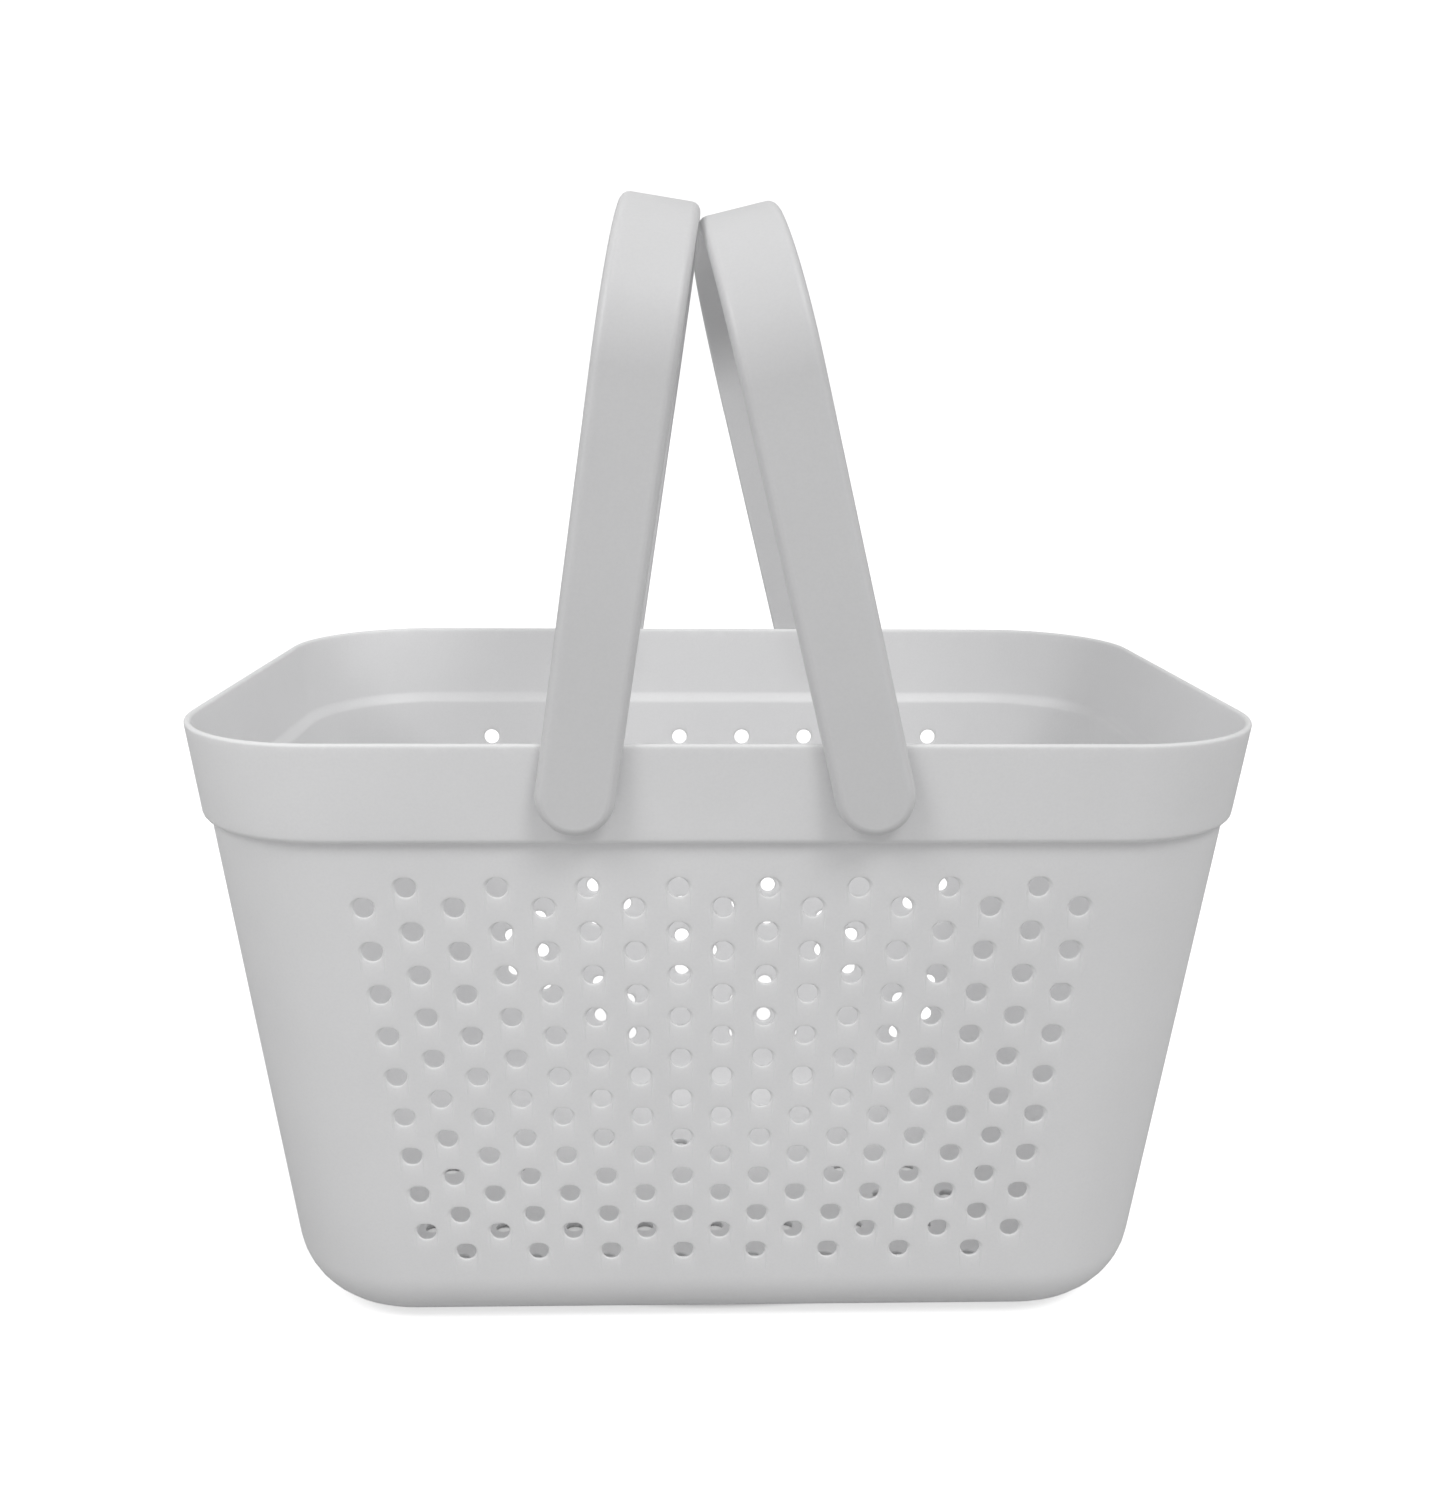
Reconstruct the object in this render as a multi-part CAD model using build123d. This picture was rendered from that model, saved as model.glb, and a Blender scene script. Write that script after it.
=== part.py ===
from build123d import *
import math
import os

# Shower caddy: a perforated tub with a stepped-out collar and two hinged strap handles.
# The origin is the centre of the underside, +Z is up, +X is along the tub's long side.

# Tub, outer sizes
RIM_LENGTH = 290.0
RIM_DEPTH = 187.0
TUB_HEIGHT = 183.4
END_DRAFT = 4.77        # lean of the short walls from upright, degrees
FACE_DRAFT = 6.64       # lean of the long walls from upright, degrees
CORNER_RADIUS = 41.4
FOOT_RADIUS = 22.5
WALL = 1.8
FLOOR = 2.2

# Collar: the top of the wall steps outward
COLLAR_HEIGHT = 27.0
COLLAR_STEP = 2.0
COLLAR_EDGE_RADIUS = 1.6
LIP_RADIUS = 0.8

# Staggered round holes in the four walls
HOLE_DIAMETER = 5.4
HOLE_ROWS = 19
TOP_ROW_HEIGHT = 143.5
ROW_PITCH = 6.36
STAGGER_RISE = 0.65     # the in-between rows sit this much above the middle
FACE_HOLES = 8          # in the top row of a long wall; the next row has one more
FACE_PITCH_TOP = 23.5
FACE_PITCH_BOTTOM = 20.7
END_HOLES = 4           # in the top row of a short wall; the next row has one more
END_PITCH_TOP = 20.5
END_PITCH_BOTTOM = 14.5

# Drain holes in the floor
DRAIN_ROWS = 5
DRAIN_HOLES = 8         # in the first row; the next row has one more
DRAIN_PITCH = 23.0
DRAIN_ROW_PITCH = 18.0

# Handles: a flat strap bent into a U, hinged at both ends
PIVOT_X = 37.4
PIVOT_Z = 170.5
STRAP_WIDTH = 20.2
STRAP_THICKNESS = 3.4
OUTER_EDGE_RADIUS = 2.4
INNER_EDGE_RADIUS = 0.8
HANDLE_SPAN = 194.8     # over the outer faces of the two arms
HANDLE_REACH = 146.7    # pivot to the top of the crown
SHOULDER_RADIUS = 43.0
LEFT_LEAN = 8.4         # inward lean of each handle at rest, degrees
RIGHT_LEAN = 13.8

# Snap stud on the collar and blind socket in the handle
PAD_RADIUS = 7.0
PAD_GAP = 0.3           # between the pad and the strap's inner face
STUD_RADIUS = 4.5
STUD_LENGTH = 2.4
HEAD_RADIUS = 4.8
HEAD_LENGTH = 0.9
RUNNING_GAP = 0.06
SOCKET_SKIN = 0.8       # plastic left between the socket and the outer face

COLLAR_BASE = TUB_HEIGHT - COLLAR_HEIGHT
TOOL_REACH = 12.0       # length of a hole cutter, longer than a wall is thick
STRAP_INNER_Y = HANDLE_SPAN / 2 - STRAP_THICKNESS
ON_BASE = (Align.CENTER, Align.CENTER, Align.MIN)


def half_length(z):
    """Half the collar-line length of the tub at a height."""
    return RIM_LENGTH / 2 - (TUB_HEIGHT - z) * math.tan(math.radians(END_DRAFT))


def half_depth(z):
    """Half the collar-line depth of the tub at a height."""
    return RIM_DEPTH / 2 - (TUB_HEIGHT - z) * math.tan(math.radians(FACE_DRAFT))


def tapered_block(z_low, z_high, inset):
    """The solid between two heights, this far inside the collar line."""
    sections = []
    for z in (z_low, z_high):
        outline = RectangleRounded(
            2 * (half_length(z) - inset), 2 * (half_depth(z) - inset), CORNER_RADIUS - inset
        )
        sections.append(Pos(0, 0, z) * outline)
    return loft(sections, ruled=True)


def edges_at(solid, z):
    """The edges that lie flat at a height."""
    return solid.edges().filter_by_position(Axis.Z, z - 0.01, z + 0.01)


def tub_shell():
    """Floor, walls and collar, before any hole."""
    body = tapered_block(0, COLLAR_BASE, COLLAR_STEP)
    body = fillet(edges_at(body, 0), FOOT_RADIUS)
    collar = tapered_block(COLLAR_BASE, TUB_HEIGHT, 0)
    collar = fillet(edges_at(collar, COLLAR_BASE), COLLAR_EDGE_RADIUS)
    ledge = COLLAR_BASE + WALL
    hollow = tapered_block(FLOOR, ledge, COLLAR_STEP + WALL)
    hollow = fillet(edges_at(hollow, FLOOR), FOOT_RADIUS - WALL)
    mouth = tapered_block(ledge, TUB_HEIGHT, WALL)
    shell = body + collar - hollow - mouth
    return fillet(edges_at(shell, TUB_HEIGHT), LIP_RADIUS)


def row_positions(holes, pitch_top, pitch_bottom):
    """Places of the holes of one wall, as (distance from the middle, height)."""
    places = []
    for row in range(HOLE_ROWS):
        odd = row % 2
        count = holes + odd
        fraction = row / (HOLE_ROWS - 1)
        pitch = pitch_top + (pitch_bottom - pitch_top) * fraction
        z = TOP_ROW_HEIGHT - row * ROW_PITCH + odd * STAGGER_RISE
        places += [((i - (count - 1) / 2) * pitch, z) for i in range(count)]
    return places


def wall_cutters():
    """One short horizontal cylinder for each hole of the four walls."""
    along_y = Rot(90, 0, 0) * Cylinder(HOLE_DIAMETER / 2, TOOL_REACH)
    along_x = Rot(0, 90, 0) * Cylinder(HOLE_DIAMETER / 2, TOOL_REACH)
    inset = COLLAR_STEP + WALL / 2
    cutters = []
    for x, z in row_positions(FACE_HOLES, FACE_PITCH_TOP, FACE_PITCH_BOTTOM):
        y = half_depth(z) - inset
        cutters += [Pos(x, side * y, z) * along_y for side in (-1, 1)]
    for y, z in row_positions(END_HOLES, END_PITCH_TOP, END_PITCH_BOTTOM):
        x = half_length(z) - inset
        cutters += [Pos(side * x, y, z) * along_x for side in (-1, 1)]
    return cutters


def drain_cutters():
    """Upright cylinders for the staggered drain holes in the floor."""
    upright = Cylinder(HOLE_DIAMETER / 2, TOOL_REACH)
    cutters = []
    for row in range(DRAIN_ROWS):
        count = DRAIN_HOLES + row % 2
        y = (row - (DRAIN_ROWS - 1) / 2) * DRAIN_ROW_PITCH
        cutters += [Pos((i - (count - 1) / 2) * DRAIN_PITCH, y, 0) * upright for i in range(count)]
    return cutters


def stud(side):
    """Snap stud on the front (side -1) or back (side 1) of the collar, at X = 0."""
    pad_face = STRAP_INNER_Y - PAD_GAP
    pad_root = half_depth(PIVOT_Z) - WALL / 2
    tip = pad_face + STUD_LENGTH
    plane = Plane((0, 0, 0), x_dir=(1, 0, 0), z_dir=(0, side, 0))
    pad = Pos(0, 0, pad_root) * Cylinder(PAD_RADIUS, pad_face - pad_root, align=ON_BASE)
    pin = Pos(0, 0, pad_face) * Cylinder(STUD_RADIUS, STUD_LENGTH, align=ON_BASE)
    head = Pos(0, 0, tip - HEAD_LENGTH) * Cylinder(HEAD_RADIUS, HEAD_LENGTH, align=ON_BASE)
    return Pos(0, 0, PIVOT_Z) * (plane * (pad + pin + head))


def make_basket():
    """The whole tub moulding: shell, holes and four studs."""
    basket = tub_shell() - wall_cutters() - drain_cutters()
    for side in (-1, 1):
        for x in (-PIVOT_X, PIVOT_X):
            basket += Pos(x, 0, 0) * stud(side)
    return basket


def u_outline(inset):
    """Upright U-shaped area, this far inside the handle's outer face, pivot axis at the origin."""
    half_span = HANDLE_SPAN / 2 - inset
    top = HANDLE_REACH - inset
    radius = SHOULDER_RADIUS - inset
    below = STRAP_WIDTH
    area = Pos(0, (top - below) / 2) * Rectangle(2 * half_span, top + below)
    return fillet(area.vertices().group_by(Axis.Y)[-1], radius)


def socket(side):
    """Blind snap socket for a stud, with the same running gap all over."""
    mouth = STRAP_INNER_Y
    bottom = HANDLE_SPAN / 2 - SOCKET_SKIN
    head_back = STRAP_INNER_Y - PAD_GAP + STUD_LENGTH - HEAD_LENGTH
    groove = head_back - PAD_GAP / 2    # end play behind the stud's head
    plane = Plane((0, 0, 0), x_dir=(1, 0, 0), z_dir=(0, side, 0))
    bore = Pos(0, 0, mouth) * Cylinder(STUD_RADIUS + RUNNING_GAP, bottom - mouth, align=ON_BASE)
    wide = Pos(0, 0, groove) * Cylinder(HEAD_RADIUS + RUNNING_GAP, bottom - groove, align=ON_BASE)
    return plane * (bore + wide)


def long_edges(strap, outer):
    """The edges that run all round the strap's outer face, or its inner face."""
    middle = STRAP_THICKNESS / 2
    found = []
    for edge in strap.edges():
        box = edge.bounding_box()
        across = box.size.Y < 0.01 and box.size.Z < 0.01
        through = box.size.X < 0.01 and box.size.Z < 0.01 and box.size.Y < 2 * STRAP_THICKNESS
        reach = max(abs(box.min.Y), abs(box.max.Y))
        on_outer = reach > HANDLE_SPAN / 2 - middle or box.max.Z > HANDLE_REACH - middle
        if not across and not through and on_outer == outer:
            found.append(edge)
    return found


def make_handle():
    """One handle, upright, with its pivot axis along Y through the origin."""
    band = extrude(Plane.YZ * (u_outline(0) - u_outline(STRAP_THICKNESS)), STRAP_WIDTH / 2, both=True)
    face = Pos(0, HANDLE_REACH / 2) * Rectangle(STRAP_WIDTH, HANDLE_REACH) + Circle(STRAP_WIDTH / 2)
    strap = band & extrude(Plane.XZ * face, HANDLE_SPAN, both=True)
    strap = fillet(long_edges(strap, outer=False), INNER_EDGE_RADIUS)
    strap = fillet(long_edges(strap, outer=True), OUTER_EDGE_RADIUS)
    for side in (-1, 1):
        strap -= socket(side)
    return strap


handle = make_handle()
nodes = {
    "basket": make_basket(),
    "left_handle": Pos(-PIVOT_X, 0, PIVOT_Z) * Rot(0, LEFT_LEAN, 0) * handle,
    "right_handle": Pos(PIVOT_X, 0, PIVOT_Z) * Rot(0, -RIGHT_LEAN, 0) * handle,
}

os.makedirs("parts", exist_ok=True)
for name, solid in nodes.items():
    export_step(solid, f"parts/{name}.step")
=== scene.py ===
"""Looks of the shower caddy: a perforated tub and two strap handles, moulded in one satin grey plastic."""
import math
import bpy
from mathutils import Matrix, Vector
from mathutils.geometry import delaunay_2d_cdt


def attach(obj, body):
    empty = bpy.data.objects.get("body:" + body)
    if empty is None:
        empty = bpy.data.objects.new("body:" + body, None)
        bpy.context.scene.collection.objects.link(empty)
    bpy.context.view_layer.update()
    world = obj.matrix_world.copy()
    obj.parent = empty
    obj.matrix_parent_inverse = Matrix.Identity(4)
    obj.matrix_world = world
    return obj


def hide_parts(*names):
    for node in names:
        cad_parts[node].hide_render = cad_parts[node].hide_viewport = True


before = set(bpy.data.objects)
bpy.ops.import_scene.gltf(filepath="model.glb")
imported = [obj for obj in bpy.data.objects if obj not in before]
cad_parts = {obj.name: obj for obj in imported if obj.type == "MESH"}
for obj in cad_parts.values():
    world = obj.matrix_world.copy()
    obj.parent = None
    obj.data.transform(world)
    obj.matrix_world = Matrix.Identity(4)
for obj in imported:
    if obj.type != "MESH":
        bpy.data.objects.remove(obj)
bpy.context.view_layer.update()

MM = 0.001

# Tub, in millimetres, as in the CAD model
RIM_LENGTH = 290.0
RIM_DEPTH = 187.0
TUB_HEIGHT = 183.4
END_SLOPE = math.tan(math.radians(4.77))
FACE_SLOPE = math.tan(math.radians(6.64))
CORNER_RADIUS = 41.4
FOOT_RADIUS = 22.5
WALL = 1.8
FLOOR = 2.2
COLLAR_BASE = TUB_HEIGHT - 27.0
COLLAR_STEP = 2.0
COLLAR_EDGE_RADIUS = 1.6
LIP_RADIUS = 0.85
LEDGE_RISE = 4.0        # height over which the inner surface steps out to the collar

# Holes: (top row, bottom row) pitches; a row in between has one hole more
HOLE_RADIUS = 2.7
HOLE_ROWS = 19
TOP_ROW_HEIGHT = 143.5
ROW_PITCH = 6.36
STAGGER_RISE = 0.65
FACE_HOLES, FACE_PITCH = 8, (23.5, 20.7)
END_HOLES, END_PITCH = 4, (20.5, 14.5)
DRAIN_ROWS, DRAIN_HOLES, DRAIN_PITCH, DRAIN_ROW_PITCH = 5, 8, 23.0, 18.0
DRAIN_BEVEL = 0.3

# Flutes: the mould halves part straight up and down, so each hole leaves an upright groove in the
# leaning wall, below it on the outside and above it on the inside; (outside, inside) depths
FACE_FLUTES = (0.8, 0.42)
END_FLUTES = (0.55, 0.34)
FLUTE_SIDE = 0.7        # width of a groove's sloping side, level with the hole's middle
FLUTE_HEAD = 0.25       # the same over the hole
BEVEL_WIDTH = 0.25      # round the outer mouth of each wall hole
BEVEL_DEPTH = 0.35

# Handles
PIVOT_X = 37.4
PIVOT_Z = 170.5
STRAP_WIDTH = 20.2
STRAP_THICKNESS = 3.4
OUTER_EDGE = 2.4
INNER_EDGE = 0.8
HANDLE_SPAN = 194.8
HANDLE_REACH = 146.7
SHOULDER_RADIUS = 43.0
LEFT_LEAN = 8.4
RIGHT_LEAN = 13.8

# Snap studs and sockets
PAD_RADIUS = 7.0
PAD_EDGE = 0.5
PAD_GAP = 0.3
STUD_RADIUS = 4.5
STUD_LENGTH = 2.4
HEAD_RADIUS = 4.8
HEAD_LENGTH = 0.9
RUNNING_GAP = 0.06
SOCKET_SKIN = 0.8
STRAP_INNER_Y = HANDLE_SPAN / 2 - STRAP_THICKNESS

# Mesh fineness
HOLE_SEGMENTS = 28      # a multiple of 4
CORNER_STEPS = 16
LONG_STEPS = 12
SHORT_STEPS = 6
FOOT_STEPS = 10
ROUND_STEPS = 4
LEDGE_STEPS = 8
STRAP_STEPS = 8         # along an arm, and along the crown
BEND_STEPS = 24
SEAT_END = FOOT_STEPS + 2   # stations from a strap's end that its socket takes up
PANEL_TOP = 152.9       # the perforated flat parts lie between these heights
PANEL_BOTTOM = 21.4
PANEL_LEVELS = 6
TURNED_SEGMENTS = 40
SIDE_SHARE = 0.6        # how far the shading at a groove's edge leans to its sloping side
MOUTH_SHARE = 0.5       # how far a bevel's shading leans into the hole at its mouth
BORE_SHARE = 2.5        # the same where the bore begins
CLOSE = 0.01            # two places nearer than this are the same


# ---------------------------------------------------------------- meshes with exact shading normals

class Skin:
    """Gathers points in millimetres, and faces as lists of (point number, normal)."""

    def __init__(self):
        self.points = []
        self.faces = []

    def add(self, point):
        self.points.append(point)
        return len(self.points) - 1

    def face(self, *corners):
        self.faces.append(corners)

    def turned(self, profile, origin, side, inward=False):
        """Surface of revolution about the Y direction, through (distance, radius) steps from an axis."""
        ox, oz = origin
        rings = []
        for distance, radius in profile:
            if radius == 0:
                rings.append([self.add((ox, side * distance, oz))] * TURNED_SEGMENTS)
                continue
            ring = []
            for k in range(TURNED_SEGMENTS):
                a = 2 * math.pi * k / TURNED_SEGMENTS
                x, z = ox + radius * math.cos(a), oz + radius * math.sin(a)
                ring.append(self.add((x, side * distance, z)))
            rings.append(ring)
        self.join_turned(profile, rings, side, inward)
        return rings

    def join_turned(self, profile, rings, side, inward):
        flip = (side > 0) != inward
        sign = -1 if inward else 1
        for (d0, r0), (d1, r1), low, high in zip(profile, profile[1:], rings, rings[1:]):
            size = math.hypot(d1 - d0, r1 - r0)
            along, out = sign * side * (r0 - r1) / size, sign * (d1 - d0) / size
            normals = []
            for k in range(TURNED_SEGMENTS):
                a = 2 * math.pi * k / TURNED_SEGMENTS
                normals.append((out * math.cos(a), along, out * math.sin(a)))
            for k in range(TURNED_SEGMENTS):
                j = (k + 1) % TURNED_SEGMENTS
                kept = distinct([(low[k], normals[k]), (low[j], normals[j]),
                                 (high[j], normals[j]), (high[k], normals[k])])
                self.face(*(reversed(kept) if flip else kept))

    def make(self, name, material, placing=None):
        """Blender object with these faces, in metres."""
        mesh = bpy.data.meshes.new(name)
        placing = placing or Matrix()
        turn = placing.to_3x3()
        used = sorted({c[0] for face in self.faces for c in face})
        order = {number: k for k, number in enumerate(used)}
        points = [(placing @ Vector(self.points[number])) * MM for number in used]
        mesh.from_pydata(points, [], [[order[c[0]] for c in face] for face in self.faces])
        mesh.polygons.foreach_set("use_smooth", [True] * len(mesh.polygons))
        mesh.normals_split_custom_set([turn @ Vector(c[1]) for face in self.faces for c in face])
        mesh.materials.append(material)
        piece = bpy.data.objects.new(name, mesh)
        bpy.context.scene.collection.objects.link(piece)
        return piece


def distinct(corners):
    """The corners without those whose point came before."""
    kept = []
    for corner in corners:
        if corner[0] not in [c[0] for c in kept]:
            kept.append(corner)
    return kept


def unit(x, y, z):
    size = math.sqrt(x * x + y * y + z * z)
    return x / size, y / size, z / size


def triangles(flat, edges):
    """Constrained triangulation of a bounded area, every triangle anticlockwise."""
    points, _, faces, origins, _, _ = delaunay_2d_cdt([Vector(p) for p in flat], edges, [], 1, 1e-6)
    result = []
    for face in faces:
        a, b, c = (origins[i][0] for i in face)
        (ax, ay), (bx, by), (cx, cy) = flat[a], flat[b], flat[c]
        area = (bx - ax) * (cy - ay) - (by - ay) * (cx - ax)
        result.append((a, b, c) if area > 0 else (a, c, b))
    return result


def loop(start, count):
    return [(start + k, start + (k + 1) % count) for k in range(count)]


def in_ring(dx, dy, radius, segments):
    """True inside the regular polygon that stands for a circle, with a corner at angle 0."""
    step = 2 * math.pi / segments
    angle = math.atan2(dy, dx) % step - step / 2
    return math.hypot(dx, dy) * math.cos(angle) < radius * math.cos(step / 2)


# ---------------------------------------------------------------- the tub's outline

def spine(station, z):
    """Centre line point that every wall surface is offset from."""
    side, share, _, _ = station
    cx = RIM_LENGTH / 2 - CORNER_RADIUS - (TUB_HEIGHT - z) * END_SLOPE
    cy = RIM_DEPTH / 2 - CORNER_RADIUS - (TUB_HEIGHT - z) * FACE_SLOPE
    (ax, ay), (bx, by) = side
    return cx * (ax + (bx - ax) * share), cy * (ay + (by - ay) * share)


def make_stations():
    """Places round the tub: corner arcs joined by straight sides, anticlockwise from the front right."""
    corners = [(1, -1), (1, 1), (-1, 1), (-1, -1)]
    stations, panels = [], []
    for i, corner in enumerate(corners):
        start = math.radians(-90 + 90 * i)
        for k in range(CORNER_STEPS):
            angle = start + math.pi / 2 * k / CORNER_STEPS
            stations.append(((corner, corner), 0.0, math.cos(angle), math.sin(angle)))
        following = corners[(i + 1) % 4]
        steps = SHORT_STEPS if i % 2 == 0 else LONG_STEPS
        angle = start + math.pi / 2
        nx, ny = round(math.cos(angle)), round(math.sin(angle))
        panels.append((len(stations), steps, (nx, ny)))
        for k in range(steps):
            stations.append(((corner, following), k / steps, nx, ny))
    return stations, panels


STATIONS, PANELS = make_stations()


def slope(station):
    """How far the wall moves outward for each unit of height."""
    return abs(station[2]) * END_SLOPE + abs(station[3]) * FACE_SLOPE


def wall_point(station, inset, z):
    """A point this far inside the collar line, at a height."""
    x, y = spine(station, z)
    radius = CORNER_RADIUS - inset
    return x + radius * station[2], y + radius * station[3], z


def foot_ring(inset, base, radius, share, sign):
    """Ring on the rounding between floor and wall; share runs from 0 at the floor to 1 at the wall."""
    ring = []
    for s in STATIONS:
        lean = math.atan(slope(s))
        x, y, _ = wall_point(s, inset, base + radius * (1 - math.sin(lean)))
        turn = math.pi / 2 + (lean - math.pi / 2) * share
        out = radius * (math.cos(turn) - math.cos(lean))
        normal = (sign * math.cos(turn) * s[2], sign * math.cos(turn) * s[3], -sign * math.sin(turn))
        ring.append(((x + out * s[2], y + out * s[3], base + radius * (1 - math.sin(turn))), normal))
    return ring


def level_ring(inset, z, out, up):
    """Ring at a height, whose normal leans by (out, up) against an upright wall."""
    return [(wall_point(s, inset, z), unit(s[2] * out, s[3] * out, up - out * slope(s))) for s in STATIONS]


def rounding(inset, z, radius, first, last):
    """Rings round a small arc, from one angle to another, about a centre line at (inset, z)."""
    rings = []
    for k in range(ROUND_STEPS + 1):
        a = math.radians(first + (last - first) * k / ROUND_STEPS)
        out, up = math.cos(a), math.sin(a)
        rings.append(level_ring(inset - radius * out, z + radius * up, out, up))
    return rings


def panel_heights():
    return [PANEL_BOTTOM + (PANEL_TOP - PANEL_BOTTOM) * k / PANEL_LEVELS for k in range(PANEL_LEVELS + 1)]


# ---------------------------------------------------------------- the tub's perforated parts

def hole_places(holes, pitches):
    """Places of the holes of one wall, as (distance from the middle, height)."""
    places = []
    for row in range(HOLE_ROWS):
        odd = row % 2
        count = holes + odd
        pitch = pitches[0] + (pitches[1] - pitches[0]) * row / (HOLE_ROWS - 1)
        z = TOP_ROW_HEIGHT - row * ROW_PITCH + odd * STAGGER_RISE
        places += [((i - (count - 1) / 2) * pitch, z) for i in range(count)]
    return places


class Panel:
    """Flat part of a wall's outer or inner surface, drawn in (distance along the wall, height)."""

    def __init__(self, skin, wall, inside):
        nx, ny = wall
        self.skin, self.wall, self.inside = skin, wall, inside
        self.lean = END_SLOPE if nx else FACE_SLOPE
        self.half = (RIM_LENGTH if nx else RIM_DEPTH) / 2
        self.places = hole_places(END_HOLES, END_PITCH) if nx else hole_places(FACE_HOLES, FACE_PITCH)
        self.depth = (END_FLUTES if nx else FACE_FLUTES)[inside]
        self.way = 1 if inside else -1      # the flutes run up or down
        self.mouth = HOLE_RADIUS + (0 if inside else BEVEL_WIDTH)
        self.upright = (-self.way * nx, -self.way * ny, 0.0)
        self.plane = unit(-self.way * nx, -self.way * ny, self.way * self.lean)
        self.flat, self.numbers, self.owner, self.edges = [], [], [], []

    def add(self, h, z, sunk, hole):
        """A hole's point, this far under the leaning surface."""
        nx, ny = self.wall
        inset = COLLAR_STEP + (WALL - sunk if self.inside else sunk)
        reach = self.half - (TUB_HEIGHT - z) * self.lean - inset
        self.numbers.append(self.skin.add((nx * reach - ny * h, ny * reach + nx * h, z)))
        self.flat.append((h, z))
        self.owner.append(hole)

    def add_border(self, border):
        """The points round the panel, which belong to no hole."""
        nx, ny = self.wall
        for number in border:
            x, y, z = self.skin.points[number]
            self.numbers.append(number)
            self.flat.append((nx * y - ny * x, z))
            self.owner.append(-1)
        self.edges += loop(0, len(border))

    def add_hole(self, hole):
        """A hole's mouth, sunk in its flute, and the flute's outline; returns the mouth's points."""
        hc, zc = self.places[hole]
        half_ring = HOLE_SEGMENTS // 2
        ring = len(self.flat)
        for k in range(HOLE_SEGMENTS):
            a = 2 * math.pi * k / HOLE_SEGMENTS
            rise = self.mouth * math.sin(a)
            sunk = self.depth - rise * self.way * self.lean
            self.add(hc + self.mouth * math.cos(a), zc + rise, sunk, hole)
        self.edges += loop(ring, HOLE_SEGMENTS)
        outline = len(self.flat)
        for k in range(half_ring + 1):
            a = math.pi * k / half_ring
            radius = self.mouth + FLUTE_HEAD + (FLUTE_SIDE - FLUTE_HEAD) * abs(math.cos(a))
            self.add(hc + radius * math.cos(a), zc - self.way * radius * math.sin(a), 0, hole)
        far_end = zc + self.way * self.depth / self.lean
        self.add(hc - self.mouth, far_end, 0, hole)
        self.add(hc + self.mouth, far_end, 0, hole)
        self.edges += loop(outline, half_ring + 3)
        self.edges += [(ring, outline + half_ring + 2), (ring + half_ring, outline + half_ring + 1)]
        return self.numbers[ring:ring + HOLE_SEGMENTS]

    def side_normal(self, index, hc, zc):
        """Between a groove's sloping side and the surface that it meets here."""
        nx, ny = self.wall
        ux, uy, _ = self.upright
        dx, dz = self.flat[index][0] - hc, self.flat[index][1] - zc
        met = self.upright if math.hypot(dx, dz) < self.mouth + CLOSE else self.plane
        if dz * self.way > 0:
            dz = 0.0
        size = math.hypot(dx, dz)
        width = FLUTE_HEAD + (FLUTE_SIDE - FLUTE_HEAD) * abs(dx) / size
        dx, dz = dx / size * self.depth, dz / size * self.depth
        side = unit(ny * dx + ux * width, -nx * dx + uy * width, -dz)
        return unit(*(SIDE_SHARE * a + (1 - SIDE_SHARE) * b for a, b in zip(side, met)))

    def shading(self, corners):
        """Normals at a triangle's corners, or None where it lies in a hole."""
        hole = self.owner[corners[0]]
        if hole < 0 or any(self.owner[i] != hole for i in corners):
            return [self.plane] * 3
        hc, zc = self.places[hole]
        dx = sum(self.flat[i][0] for i in corners) / 3 - hc
        dz = sum(self.flat[i][1] for i in corners) / 3 - zc
        if in_ring(dx, dz, self.mouth, HOLE_SEGMENTS):
            return None
        if dz * self.way > 0 and abs(dx) < self.mouth:
            # the upright floor of the flute, which fades out into the leaning surface
            rises = [abs(self.flat[i][1] - zc) for i in corners]
            return [self.plane if rise > self.mouth + CLOSE else self.upright for rise in rises]
        return [self.side_normal(i, hc, zc) for i in corners]


def wall_panel(skin, wall, border, inside):
    """Flat part of a wall's outer or inner surface, with its flutes; returns the ring of each bore."""
    panel = Panel(skin, wall, inside)
    panel.add_border(border)
    rings = [panel.add_hole(hole) for hole in range(len(panel.places))]
    for corners in triangles(panel.flat, panel.edges):
        normals = panel.shading(corners)
        if normals:
            made = [(panel.numbers[i], normal) for i, normal in zip(corners, normals)]
            skin.face(*(reversed(made) if inside else made))
    return rings if inside else [bevel(skin, ring, wall) for ring in rings]


def bevel(skin, mouth, wall):
    """Rounded edge from a hole's outer mouth into its bore; returns the ring where the bore begins."""
    nx, ny = wall
    ring, shading = [], []
    for k, number in enumerate(mouth):
        a = 2 * math.pi * k / HOLE_SEGMENTS
        c, s = math.cos(a), math.sin(a)
        x, y, z = skin.points[number]
        inward = (ny * c, -nx * c, -s)
        ring.append(skin.add((x + BEVEL_WIDTH * inward[0] - BEVEL_DEPTH * nx,
                              y + BEVEL_WIDTH * inward[1] - BEVEL_DEPTH * ny, z + BEVEL_WIDTH * inward[2])))
        shading.append([unit(share * inward[0] + nx, share * inward[1] + ny, share * inward[2])
                        for share in (MOUTH_SHARE, BORE_SHARE)])
    for k in range(HOLE_SEGMENTS):
        j = (k + 1) % HOLE_SEGMENTS
        skin.face((mouth[k], shading[k][0]), (mouth[j], shading[j][0]),
                  (ring[j], shading[j][1]), (ring[k], shading[k][1]))
    return ring


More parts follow.
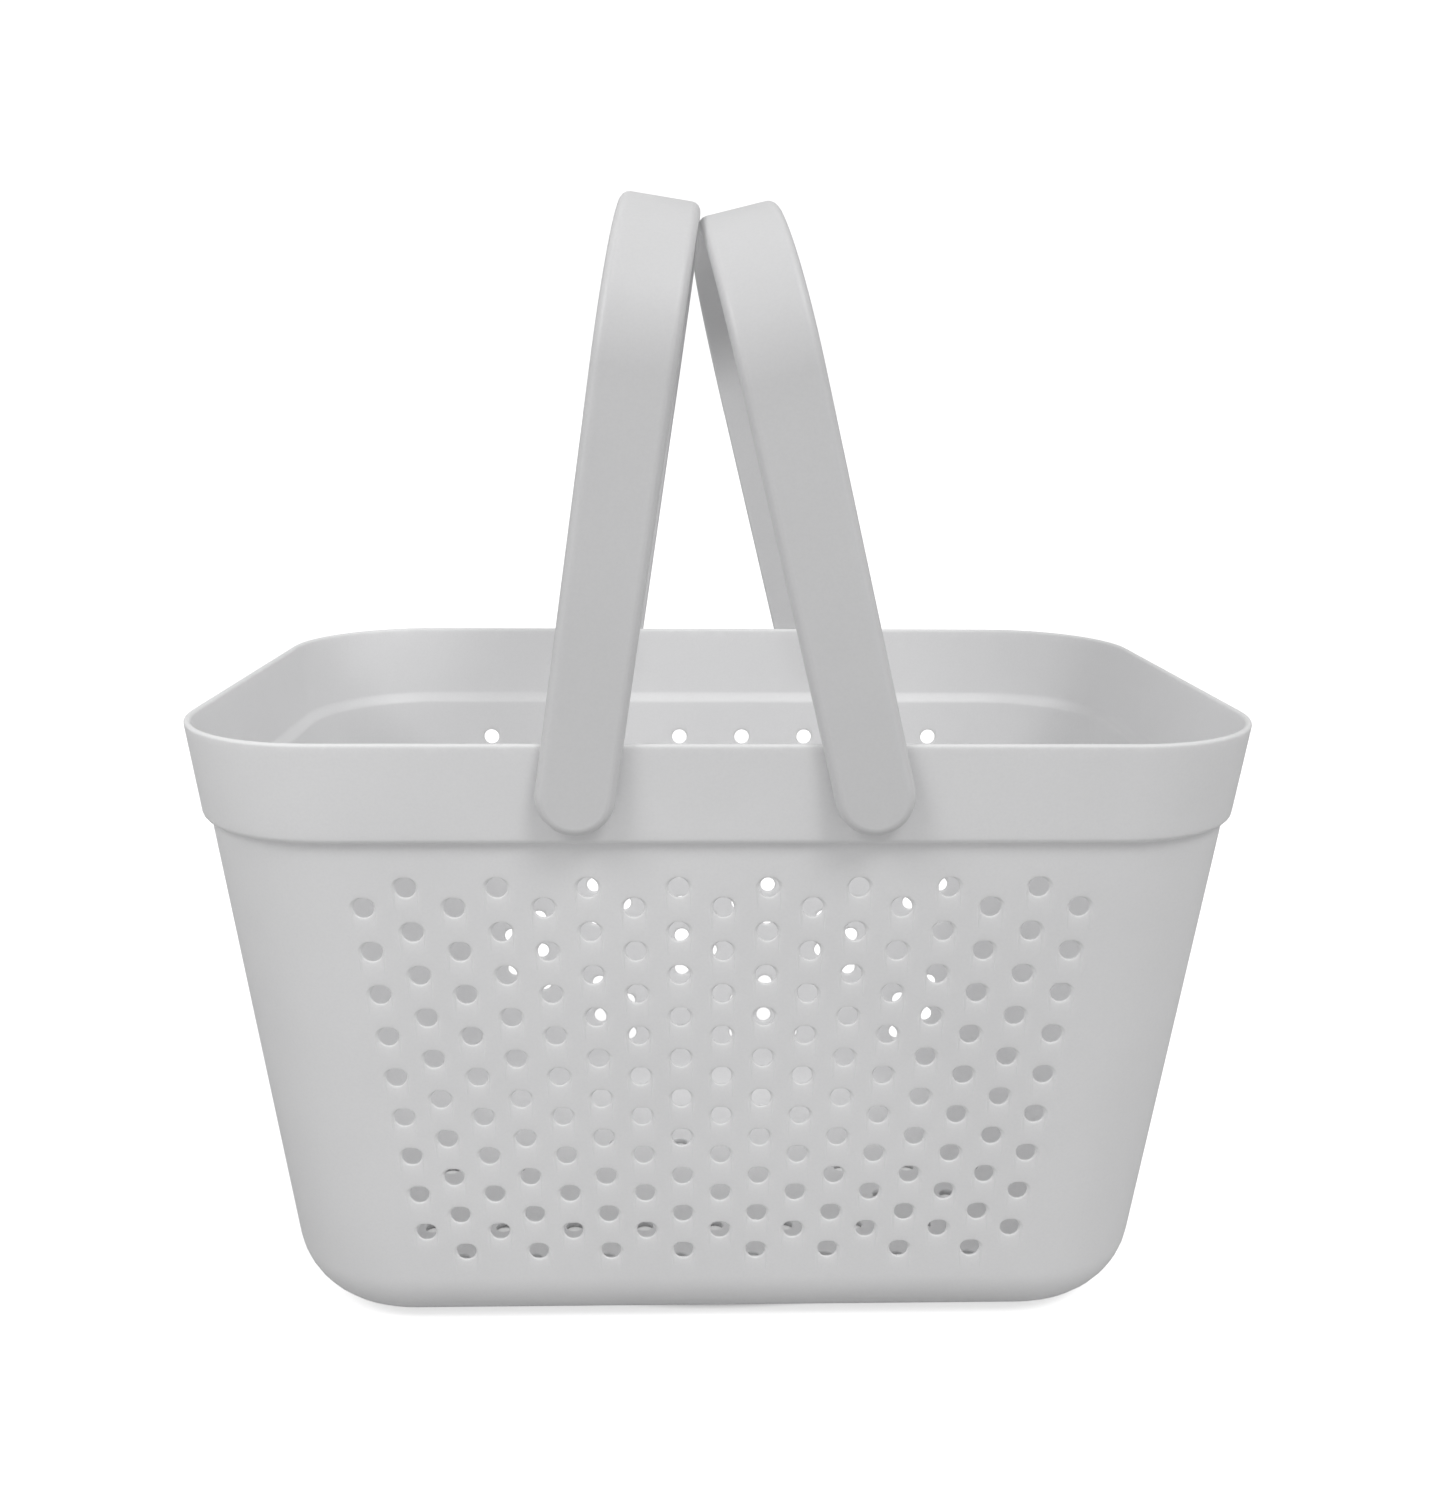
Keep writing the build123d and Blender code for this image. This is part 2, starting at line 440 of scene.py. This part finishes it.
def join_holes(skin, wall, outer_rings, inner_rings):
    """The short bores between the outer and inner surfaces."""
    nx, ny = wall
    for outer, inner in zip(outer_rings, inner_rings):
        for k in range(HOLE_SEGMENTS):
            j = (k + 1) % HOLE_SEGMENTS
            corners = []
            for number, at in ((outer[k], k), (outer[j], j), (inner[j], j), (inner[k], k)):
                a = 2 * math.pi * at / HOLE_SEGMENTS
                corners.append((number, (ny * math.cos(a), -nx * math.cos(a), -math.sin(a))))
            skin.face(*corners)


def drain_places():
    """Places of the drain holes, row by row."""
    places = []
    for row in range(DRAIN_ROWS):
        count = DRAIN_HOLES + row % 2
        y = (row - (DRAIN_ROWS - 1) / 2) * DRAIN_ROW_PITCH
        places += [((i - (count - 1) / 2) * DRAIN_PITCH, y) for i in range(count)]
    return places


def floor_panel(skin, border, z, up):
    """Top (up = 1) or underside (up = -1) of the floor; returns each drain hole's ring below its bevel."""
    flat = [skin.points[number][:2] for number in border]
    numbers = list(border)
    edges = loop(0, len(border))
    rings = []
    places = drain_places()
    for x, y in places:
        mouth = len(flat)
        ring = []
        for k in range(HOLE_SEGMENTS):
            a = 2 * math.pi * k / HOLE_SEGMENTS
            c, s = math.cos(a), math.sin(a)
            wide = HOLE_RADIUS + DRAIN_BEVEL
            flat.append((x + wide * c, y + wide * s))
            numbers.append(skin.add((x + wide * c, y + wide * s, z)))
            ring.append(skin.add((x + HOLE_RADIUS * c, y + HOLE_RADIUS * s, z - up * DRAIN_BEVEL)))
        edges += loop(mouth, HOLE_SEGMENTS)
        for k in range(HOLE_SEGMENTS):
            j = (k + 1) % HOLE_SEGMENTS
            normals = []
            for at in (k, j):
                a = 2 * math.pi * at / HOLE_SEGMENTS
                normals.append(unit(-math.cos(a), -math.sin(a), up))
            made = [(numbers[mouth + k], normals[0]), (ring[k], normals[0]),
                    (ring[j], normals[1]), (numbers[mouth + j], normals[1])]
            skin.face(*(reversed(made) if up > 0 else made))
        rings.append(ring)
    for corners in triangles(flat, edges):
        cx = sum(flat[i][0] for i in corners) / 3
        cy = sum(flat[i][1] for i in corners) / 3
        wide = HOLE_RADIUS + DRAIN_BEVEL
        if any(in_ring(cx - x, cy - y, wide, HOLE_SEGMENTS) for x, y in places if abs(cx - x) < wide):
            continue
        made = [(numbers[i], (0, 0, up)) for i in corners]
        skin.face(*(made if up > 0 else reversed(made)))
    return rings


def join_drains(skin, under, over):
    """The bores of the drain holes."""
    for low, high in zip(under, over):
        for k in range(HOLE_SEGMENTS):
            j = (k + 1) % HOLE_SEGMENTS
            corners = []
            for number, at in ((low[k], k), (high[k], k), (high[j], j), (low[j], j)):
                a = 2 * math.pi * at / HOLE_SEGMENTS
                corners.append((number, (-math.cos(a), -math.sin(a), 0.0)))
            skin.face(*corners)


def outer_rings():
    """Rings up the outside, from the underside to the top of the lip's outer half."""
    step = COLLAR_STEP
    rings = [foot_ring(step, 0, FOOT_RADIUS, k / FOOT_STEPS, 1) for k in range(FOOT_STEPS + 1)]
    rings += [level_ring(step, z, 1, 0) for z in panel_heights()]
    rings += [level_ring(step, COLLAR_BASE, 1, 0), level_ring(step, COLLAR_BASE, 0, -1)]
    rings += rounding(COLLAR_EDGE_RADIUS, COLLAR_BASE + COLLAR_EDGE_RADIUS, COLLAR_EDGE_RADIUS, -90, 0)
    return rings + rounding(LIP_RADIUS, TUB_HEIGHT - LIP_RADIUS, LIP_RADIUS, 0, 90)


def inner_rings():
    """Rings down the inside, from the top of the lip's inner half to the floor."""
    thick = COLLAR_STEP + WALL
    rings = rounding(WALL - LIP_RADIUS, TUB_HEIGHT - LIP_RADIUS, LIP_RADIUS, 90, 180)
    for k in range(LEDGE_STEPS + 1):
        turn = math.pi * k / LEDGE_STEPS
        inset = WALL + COLLAR_STEP * (1 - math.cos(turn)) / 2
        fall = COLLAR_STEP * math.pi / 2 * math.sin(turn) / LEDGE_RISE
        z = COLLAR_BASE + WALL + LEDGE_RISE * (0.5 - k / LEDGE_STEPS)
        rings.append(level_ring(inset, z, -1, fall))
    rings += [level_ring(thick, z, -1, 0) for z in reversed(panel_heights())]
    shares = [k / FOOT_STEPS for k in range(FOOT_STEPS, -1, -1)]
    return rings + [foot_ring(thick, FLOOR, FOOT_RADIUS - WALL, share, -1) for share in shares]


def panel_border(grid, places, low, high):
    """Points round a panel, from its lowest ring to its highest, anticlockwise as seen from outside."""
    way = 1 if high > low else -1
    border = [grid[low][p] for p in places]
    border += [grid[i][places[-1]] for i in range(low + way, high, way)]
    border += [grid[high][p] for p in reversed(places)]
    return border + [grid[i][places[0]] for i in range(high - way, low, -way)]


def tub():
    """The whole tub as one closed mesh."""
    outside = outer_rings()
    rings = outside + inner_rings()
    outer_low = FOOT_STEPS + 1
    crease = outer_low + PANEL_LEVELS + 2       # the ring before it, turned to face down
    inner_high = len(outside) + ROUND_STEPS + LEDGE_STEPS + 2

    skin = Skin()
    grid = []
    for i, ring in enumerate(rings):
        grid.append(list(grid[-1]) if i == crease else [skin.add(point) for point, _ in ring])
    count = len(STATIONS)
    flat_stations = set()
    for first, steps, _ in PANELS:
        flat_stations.update(range(first, first + steps))
    for i in range(len(rings) - 1):
        if i + 1 == crease:
            continue
        perforated = any(start <= i < start + PANEL_LEVELS for start in (outer_low, inner_high))
        for k in range(count):
            if perforated and k in flat_stations:
                continue
            j = (k + 1) % count
            skin.face(
                (grid[i][k], rings[i][k][1]), (grid[i][j], rings[i][j][1]),
                (grid[i + 1][j], rings[i + 1][j][1]), (grid[i + 1][k], rings[i + 1][k][1]),
            )

    for first, steps, wall in PANELS:
        places = [(first + k) % count for k in range(steps + 1)]
        outer = panel_border(grid, places, outer_low, outer_low + PANEL_LEVELS)
        inner = panel_border(grid, places, inner_high + PANEL_LEVELS, inner_high)
        join_holes(skin, wall, wall_panel(skin, wall, outer, 0), wall_panel(skin, wall, inner, 1))
    join_drains(skin, floor_panel(skin, grid[0], 0.0, -1), floor_panel(skin, grid[-1], FLOOR, 1))
    return skin


def studs():
    """The four pivot studs on the collar, rooted in its wall."""
    skin = Skin()
    root = RIM_DEPTH / 2 - (TUB_HEIGHT - PIVOT_Z) * FACE_SLOPE - WALL / 2
    face = STRAP_INNER_Y - PAD_GAP
    tip = face + STUD_LENGTH
    profile = [(root, 0), (root, PAD_RADIUS)]
    for k in range(ROUND_STEPS + 1):
        a = math.pi / 2 * k / ROUND_STEPS
        profile.append((face - PAD_EDGE * (1 - math.sin(a)), PAD_RADIUS - PAD_EDGE * (1 - math.cos(a))))
    profile += [(face, STUD_RADIUS), (tip - HEAD_LENGTH, STUD_RADIUS), (tip - HEAD_LENGTH, HEAD_RADIUS)]
    profile += [(tip, HEAD_RADIUS), (tip, 0)]
    for side in (-1, 1):
        for x in (-PIVOT_X, PIVOT_X):
            skin.turned(profile, (x, PIVOT_Z), side)
    return skin


# ---------------------------------------------------------------- the handles

ARM = HANDLE_REACH - SHOULDER_RADIUS
BEND = math.pi / 2 * SHOULDER_RADIUS
CROWN = HANDLE_SPAN - 2 * SHOULDER_RADIUS
STRAP_LENGTH = 2 * (ARM + BEND) + CROWN     # pivot to pivot, along the outer face


def strap_place(u):
    """Point of the outer face's middle line and its normal, both as (y, z), at a length from a pivot."""
    if u > STRAP_LENGTH / 2:
        (y, z), (ny, nz) = strap_place(STRAP_LENGTH - u)
        return (-y, z), (-ny, nz)
    if u <= ARM:
        return (-HANDLE_SPAN / 2, u), (-1.0, 0.0)
    if u < ARM + BEND:
        a = (u - ARM) / SHOULDER_RADIUS
        ny, nz = -math.cos(a), math.sin(a)
        return (-CROWN / 2 + SHOULDER_RADIUS * ny, ARM + SHOULDER_RADIUS * nz), (ny, nz)
    return (-CROWN / 2 + u - ARM - BEND, HANDLE_REACH), (0.0, 1.0)


def strap_stations():
    """Stations from tip to tip, as (length, end angle); the angle is 0 except on the round ends."""
    stations = [(0.0, math.pi / 2 * (1 - k / FOOT_STEPS)) for k in range(FOOT_STEPS)]
    lengths = [ARM * k / STRAP_STEPS for k in range(STRAP_STEPS + 1)]
    lengths += [ARM + BEND * k / BEND_STEPS for k in range(1, BEND_STEPS + 1)]
    lengths += [ARM + BEND + CROWN * k / STRAP_STEPS for k in range(1, STRAP_STEPS // 2 + 1)]
    stations += [(u, 0.0) for u in lengths]
    return stations + [(STRAP_LENGTH - u, -a) for u, a in reversed(stations[:-1])]


def edge_profile():
    """The strap's rounded edge, from outer to inner face, as (inset, depth, outward share, upward share)."""
    turns = [math.pi / 2 * k / ROUND_STEPS for k in range(ROUND_STEPS + 1)]
    profile = []
    for a in turns:
        s, c = math.sin(a), math.cos(a)
        profile.append((OUTER_EDGE * (1 - s), OUTER_EDGE * (1 - c), s, c))
    for a in turns:
        s, c = math.sin(a), math.cos(a)
        profile.append((INNER_EDGE * (1 - c), STRAP_THICKNESS - INNER_EDGE * (1 - s), c, -s))
    return profile


def strap_point(u, x, sunk):
    """A point at a length from a pivot, this far across and this far under the outer face."""
    (y, z), (ny, nz) = strap_place(min(max(u, 0), STRAP_LENGTH))
    past = min(u, 0) + min(STRAP_LENGTH - u, 0)
    return x, y - sunk * ny, z - sunk * nz + past


def strap_edge(station, side, step):
    """Point and normal of one step of the edge's profile, on the right (side 1) or the left (side -1)."""
    u, end = station
    inset, sunk, out, up = step
    reach, along = STRAP_WIDTH / 2 - inset, -math.sin(end)
    _, (ny, nz) = strap_place(u)
    normal = (out * side * math.cos(end), out * along * nz + up * ny, up * nz - out * along * ny)
    return strap_point(u + reach * along, side * reach * math.cos(end), sunk), normal


def socket(skin, border, side):
    """Blind snap socket at an arm's end, and the part of the inner face within a border round it."""
    mouth, bottom = STRAP_INNER_Y, HANDLE_SPAN / 2 - SOCKET_SKIN
    head_back = mouth - PAD_GAP + STUD_LENGTH - HEAD_LENGTH
    groove = head_back - PAD_GAP / 2
    bore, wide = STUD_RADIUS + RUNNING_GAP, HEAD_RADIUS + RUNNING_GAP
    profile = [(mouth, bore), (groove, bore), (groove, wide), (bottom, wide), (bottom, 0)]
    rings = skin.turned(profile, (0, 0), side, inward=True)
    numbers = border + rings[0]
    flat = [(skin.points[n][0], skin.points[n][2]) for n in numbers]
    edges = loop(0, len(border)) + loop(len(border), TURNED_SEGMENTS)
    for corners in triangles(flat, edges):
        cx = sum(flat[i][0] for i in corners) / 3
        cz = sum(flat[i][1] for i in corners) / 3
        if in_ring(cx, cz, bore, TURNED_SEGMENTS):
            continue
        made = [(numbers[i], (0.0, -side, 0.0)) for i in corners]
        skin.face(*(made if side > 0 else reversed(made)))


def strap():
    """One handle, upright, its pivot axis along Y through the origin."""
    skin = Skin()
    stations = strap_stations()
    last = len(stations) - 1
    around = [(k, 1) for k in range(last + 1)] + [(k, -1) for k in range(last - 1, 0, -1)]
    count = len(around)

    # each ring goes up the right edge and back down the left one, so ring[-k] faces ring[k]
    rings = []
    for step in edge_profile():
        made = [strap_edge(stations[k], side, step) for k, side in around]
        rings.append([(skin.add(point), normal) for point, normal in made])
    for low, high in zip(rings, rings[1:]):
        for k in range(count):
            j = (k + 1) % count
            skin.face(low[k], high[k], high[j], low[j])

    for ring, up in ((rings[0], 1), (rings[-1], -1)):
        for k in range(last):
            if up < 0 and (k < SEAT_END or k >= last - SEAT_END):
                continue
            corners = distinct([ring[k], ring[k + 1], ring[-k - 1], ring[-k]])
            skin.face(*(corners if up > 0 else reversed(corners)))

    inner = [number for number, _ in rings[-1]]
    near = inner[:SEAT_END + 1] + [inner[-k] for k in range(SEAT_END, 0, -1)]
    far = inner[last - SEAT_END:last + 1] + [inner[-k] for k in range(last - 1, last - SEAT_END - 1, -1)]
    socket(skin, near, -1)
    socket(skin, far, 1)
    return skin


# ---------------------------------------------------------------- materials

# Noise scales, per metre
DRIFT_SCALE = 14.0
SHEEN_SCALE = 38.0
WAVE_SCALE = 45.0
SCUFF_SCALE = 160.0
SPECKLE_SCALE = 1400.0
GRAIN_SCALE = 2600.0
GRAIN_HEIGHT = 0.00002
WAVE_HEIGHT = 0.0002

TUB_TONE = (0.86, 0.86, 0.865)
# the handles' grey is darker than the tub's though both are one plastic: painted shade, for the light that
# the thin tub walls let through and the thick straps don't
HANDLE_PAINTED_SHADE_TONE = (0.75, 0.75, 0.755)
DRIFT_TONES = (0.975, 1.02)     # tones of drift, speckle and rubbing, as factors of the plastic's own
SPECKLE_TONE, SPECKLE_SHARE = 0.8, 0.12
RUBBED_TONE, RUBBED_SHARE = 1.12, 0.25
ROUGHNESS = (0.40, 0.50)
RUBBED_ROUGHNESS = 0.12         # added where the plastic is rubbed
TUB_GLOW_DEPTH = 0.002          # how far light spreads inside the plastic, metres
HANDLE_GLOW_DEPTH = 0.0008
FOOT_WEAR = 0.012               # the tub is rubbed below this height, and above RIM_WEAR
RIM_WEAR = 0.1829
NO_WEAR = 0.001                 # the handles are rubbed on their crowns only
CROWN_WEAR = 0.3155
WEAR_EDGE = 0.004


def node(tree, kind, **values):
    made = tree.nodes.new(kind)
    for name, value in values.items():
        if name.startswith("in_"):
            made.inputs[name[3:].replace("_", " ")].default_value = value
        else:
            setattr(made, name, value)
    return made


def noise(tree, place, scale, detail=2.0, rough=0.5):
    made = node(tree, "ShaderNodeTexNoise", in_Scale=scale, in_Detail=detail, in_Roughness=rough)
    tree.links.new(place, made.inputs["Vector"])
    return made.outputs["Fac"]


def spread(tree, value, low, high, from_low=0.3, from_high=0.7):
    made = node(tree, "ShaderNodeMapRange")
    for name, number in zip(("From Min", "From Max", "To Min", "To Max"), (from_low, from_high, low, high)):
        made.inputs[name].default_value = number
    tree.links.new(value, made.inputs["Value"])
    return made.outputs["Result"]


def maths(tree, operation, a, b):
    made = node(tree, "ShaderNodeMath", operation=operation)
    for entry, value in zip(made.inputs, (a, b)):
        if isinstance(value, (int, float)):
            entry.default_value = value
        else:
            tree.links.new(value, entry)
    return made.outputs[0]


def blend(tree, fac, a, b):
    """Mix of two colours by a number."""
    made = tree.nodes.new("ShaderNodeMix")
    made.data_type = "RGBA"
    for entry, value in ((made.inputs[0], fac), (made.inputs[6], a), (made.inputs[7], b)):
        if isinstance(value, (tuple, float, int)):
            entry.default_value = value
        else:
            tree.links.new(value, entry)
    return made.outputs[2]


def shade(tone, factor):
    """A grey made lighter or darker, as a colour socket's value."""
    return tuple(min(1, factor * c) for c in tone) + (1,)


def plastic(name, tone, depth, wear_low, wear_high):
    """Satin moulded polypropylene, rubbed below the height wear_low and above the height wear_high."""
    material = bpy.data.materials.new(name)
    material.use_nodes = True
    tree = material.node_tree
    tree.nodes.clear()
    out = tree.nodes.new("ShaderNodeOutputMaterial")
    shader = tree.nodes.new("ShaderNodeBsdfPrincipled")
    tree.links.new(shader.outputs[0], out.inputs[0])
    place = tree.nodes.new("ShaderNodeTexCoord").outputs["Object"]
    height = tree.nodes.new("ShaderNodeSeparateXYZ")
    tree.links.new(place, height.inputs[0])

    # rubbed bands at the foot and the rim, broken up by scuffs
    low = spread(tree, height.outputs[2], 1.0, 0.0, wear_low * 0.3, wear_low)
    high = spread(tree, height.outputs[2], 0.0, 1.0, wear_high - WEAR_EDGE, wear_high)
    scuffs = spread(tree, noise(tree, place, SCUFF_SCALE, 6.0, 0.7), 0.0, 1.0, 0.5, 0.68)
    rubbed = maths(tree, "MULTIPLY", maths(tree, "MAXIMUM", low, high), scuffs)

    # slow drift of pigment and faint speckle
    drift = spread(tree, noise(tree, place, DRIFT_SCALE, 3.0), 0.0, 1.0)
    speckle = spread(tree, noise(tree, place, SPECKLE_SCALE), 0.0, 1.0, 0.35, 0.75)
    base = blend(tree, drift, *(shade(tone, factor) for factor in DRIFT_TONES))
    base = blend(tree, maths(tree, "MULTIPLY", speckle, SPECKLE_SHARE), base, shade(tone, SPECKLE_TONE))
    base = blend(tree, maths(tree, "MULTIPLY", rubbed, RUBBED_SHARE), base, shade(tone, RUBBED_TONE))
    tree.links.new(base, shader.inputs["Base Color"])

    # satin sheen that changes a little with flow in the mould and with handling
    sheen = spread(tree, noise(tree, place, SHEEN_SCALE, 4.0, 0.6), *ROUGHNESS)
    dulling = maths(tree, "MULTIPLY", rubbed, RUBBED_ROUGHNESS)
    tree.links.new(maths(tree, "ADD", sheen, dulling), shader.inputs["Roughness"])

    # spark-eroded mould grain over slow unevenness of the skin
    grain = node(tree, "ShaderNodeBump", in_Strength=0.35, in_Distance=GRAIN_HEIGHT)
    tree.links.new(noise(tree, place, GRAIN_SCALE, 2.0, 0.6), grain.inputs["Height"])
    waves = node(tree, "ShaderNodeBump", in_Strength=0.5, in_Distance=WAVE_HEIGHT)
    tree.links.new(noise(tree, place, WAVE_SCALE, 1.0), waves.inputs["Height"])
    tree.links.new(grain.outputs[0], waves.inputs["Normal"])
    tree.links.new(waves.outputs[0], shader.inputs["Normal"])

    shader.inputs["IOR"].default_value = 1.49
    shader.inputs["Subsurface Weight"].default_value = 1.0
    shader.inputs["Subsurface Radius"].default_value = (1.0, 1.0, 1.0)
    shader.inputs["Subsurface Scale"].default_value = depth
    return material


tub_plastic = plastic("tub_plastic_look", TUB_TONE, TUB_GLOW_DEPTH, FOOT_WEAR, RIM_WEAR)
handle_plastic = plastic("handle_plastic_look", HANDLE_PAINTED_SHADE_TONE, HANDLE_GLOW_DEPTH, NO_WEAR, CROWN_WEAR)


def leaning(x, lean):
    """Placing of a handle on its pivot axis."""
    return Matrix.Translation((x, 0, PIVOT_Z)) @ Matrix.Rotation(math.radians(lean), 4, "Y")


for name, skin, material, body, node_name, slot, placing in (
    ("perforated_tub", tub(), tub_plastic, "basket", "basket", "tub_plastic", None),
    ("pivot_studs", studs(), tub_plastic, "basket", None, "tub_plastic", None),
    ("left_strap", strap(), handle_plastic, "left_handle", "left_handle", "handle_plastic",
     leaning(-PIVOT_X, LEFT_LEAN)),
    ("right_strap", strap(), handle_plastic, "right_handle", "right_handle", "handle_plastic",
     leaning(PIVOT_X, -RIGHT_LEAN)),
):
    piece = skin.make(name, material, placing)
    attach(piece, body)
    if node_name:
        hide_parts(node_name)


# ---------------------------------------------------------------- floor, light and camera

DOME_LIGHT = 0.48
DOME_SHOWN = 1.1                        # the surround shows brighter than it lights
FLOOR_BOUNCE = (0.48, 0.48, 0.48, 1)    # the floor throws back less light than it shows
FLOOR_LIFT = 0.6                        # glow of the floor as the camera sees it
FLOOR_SIZE = 40.0
# Painted shade under the tub: there the floor glows less and shows a darker colour than the open floor
PAINTED_SHADE_REACH = (0.108, 0.113)              # nearer to the middle than this, the glow is weaker
PAINTED_SHADE_SHARE = 0.45
PAINTED_SHADE_STRETCH = (1.0, 1.9, 1.0)     # the weaker part is this much narrower from front to back
LIGHT_TARGET = Vector((0, 0, 0.15))
SUN_DISTANCE = 3.0
SOFTBOX_DISTANCE = 0.9
SOFTBOX_SIZE = 0.32


def floor_look():
    """Pale and even, with a little drift; under the tub its glow and shown colour are weaker, a painted
    shade that shows through the tub's drain holes.
    """
    material = bpy.data.materials.new("studio_floor_look")
    material.use_nodes = True
    tree = material.node_tree
    shader = tree.nodes["Principled BSDF"]
    place = tree.nodes.new("ShaderNodeTexCoord").outputs["Object"]
    drift = spread(tree, noise(tree, place, 3.0, 2.0), 0.0, 1.0)
    pale = blend(tree, drift, (0.94, 0.94, 0.94, 1), (0.96, 0.96, 0.96, 1))
    seen = tree.nodes.new("ShaderNodeLightPath").outputs["Is Camera Ray"]
    apart = node(tree, "ShaderNodeVectorMath", operation="LENGTH")
    stretch = node(tree, "ShaderNodeVectorMath", operation="MULTIPLY")
    stretch.inputs[1].default_value = PAINTED_SHADE_STRETCH
    tree.links.new(place, stretch.inputs[0])
    tree.links.new(stretch.outputs["Vector"], apart.inputs[0])
    # 1 on the open floor, falling under the tub: painted shade there
    outside_painted_shade = spread(tree, apart.outputs["Value"], PAINTED_SHADE_SHARE, 1.0, *PAINTED_SHADE_REACH)
    seen = maths(tree, "MULTIPLY", seen, outside_painted_shade)
    tree.links.new(blend(tree, seen, FLOOR_BOUNCE, pale), shader.inputs["Base Color"])
    shader.inputs["Emission Color"].default_value = (1, 1, 1, 1)
    tree.links.new(maths(tree, "MULTIPLY", seen, FLOOR_LIFT), shader.inputs["Emission Strength"])
    shader.inputs["Roughness"].default_value = 0.9
    shader.inputs["Specular IOR Level"].default_value = 0.1
    return material


def stage_floor():
    mesh = bpy.data.meshes.new("studio_floor")
    corners = [(x * FLOOR_SIZE, y * FLOOR_SIZE, 0) for x, y in ((-1, -1), (1, -1), (1, 1), (-1, 1))]
    mesh.from_pydata(corners, [], [(0, 1, 2, 3)])
    mesh.materials.append(floor_look())
    floor = bpy.data.objects.new("studio_floor", mesh)
    bpy.context.scene.collection.objects.link(floor)


def hang(name, light, azimuth, elevation, target, distance):
    """Puts a light up; azimuth is measured from straight in front of the tub, towards +X."""
    a, e = math.radians(azimuth), math.radians(elevation)
    towards = Vector((math.sin(a) * math.cos(e), -math.cos(a) * math.cos(e), math.sin(e)))
    lamp = bpy.data.objects.new(name, light)
    lamp.location = target + distance * towards
    lamp.rotation_euler = towards.to_track_quat("Z", "Y").to_euler()
    bpy.context.scene.collection.objects.link(lamp)


def sun(name, azimuth, elevation, spread_angle, strength):
    """A far soft light."""
    light = bpy.data.lights.new(name, "SUN")
    light.angle = math.radians(spread_angle)
    light.energy = strength
    hang(name, light, azimuth, elevation, Vector(), SUN_DISTANCE)


def softbox(name, azimuth, elevation, power):
    """A near round light, aimed at the middle of the tub."""
    light = bpy.data.lights.new(name, "AREA")
    light.shape = "DISK"
    light.size = SOFTBOX_SIZE
    light.energy = power
    hang(name, light, azimuth, elevation, LIGHT_TARGET, SOFTBOX_DISTANCE)


def studio():
    """A white surround that lights softly and looks fully white."""
    world = bpy.data.worlds.new("studio")
    world.use_nodes = True
    tree = world.node_tree
    ground = tree.nodes["Background"]
    ground.inputs["Color"].default_value = (1, 1, 1, 1)
    seen = tree.nodes.new("ShaderNodeLightPath").outputs["Is Camera Ray"]
    tree.links.new(spread(tree, seen, DOME_LIGHT, DOME_SHOWN, 0.0, 1.0), ground.inputs["Strength"])
    bpy.context.scene.world = world


CAMERA_PLACE = (-0.011168, -0.432095, 0.264990)
CAMERA_TURN = (1.512, 13.757, 0.389)    # right, down and rolled, degrees
CAMERA_LENS = 33.7955


def camera():
    yaw, pitch, roll = (math.radians(a) for a in CAMERA_TURN)
    ahead = Vector((math.sin(yaw) * math.cos(pitch), math.cos(yaw) * math.cos(pitch), -math.sin(pitch)))
    right = Vector((math.cos(yaw), -math.sin(yaw), 0))
    up = right.cross(ahead)
    across = right * math.cos(roll) + up * math.sin(roll)
    upward = up * math.cos(roll) - right * math.sin(roll)
    turn = Matrix((across, upward, -ahead)).transposed().to_4x4()
    lens = bpy.data.cameras.new("camera")
    lens.sensor_width = 36.0
    lens.lens = CAMERA_LENS
    lens.clip_start = 0.01
    holder = bpy.data.objects.new("camera", lens)
    holder.matrix_world = Matrix.Translation(CAMERA_PLACE) @ turn
    bpy.context.scene.collection.objects.link(holder)
    bpy.context.scene.camera = holder


stage_floor()
studio()
softbox("left_softbox", azimuth=-43, elevation=40, power=1.73)
sun("right_softbox", azimuth=35, elevation=51, spread_angle=20, strength=0.935)
bpy.context.scene.view_settings.view_transform = "Standard"
camera()
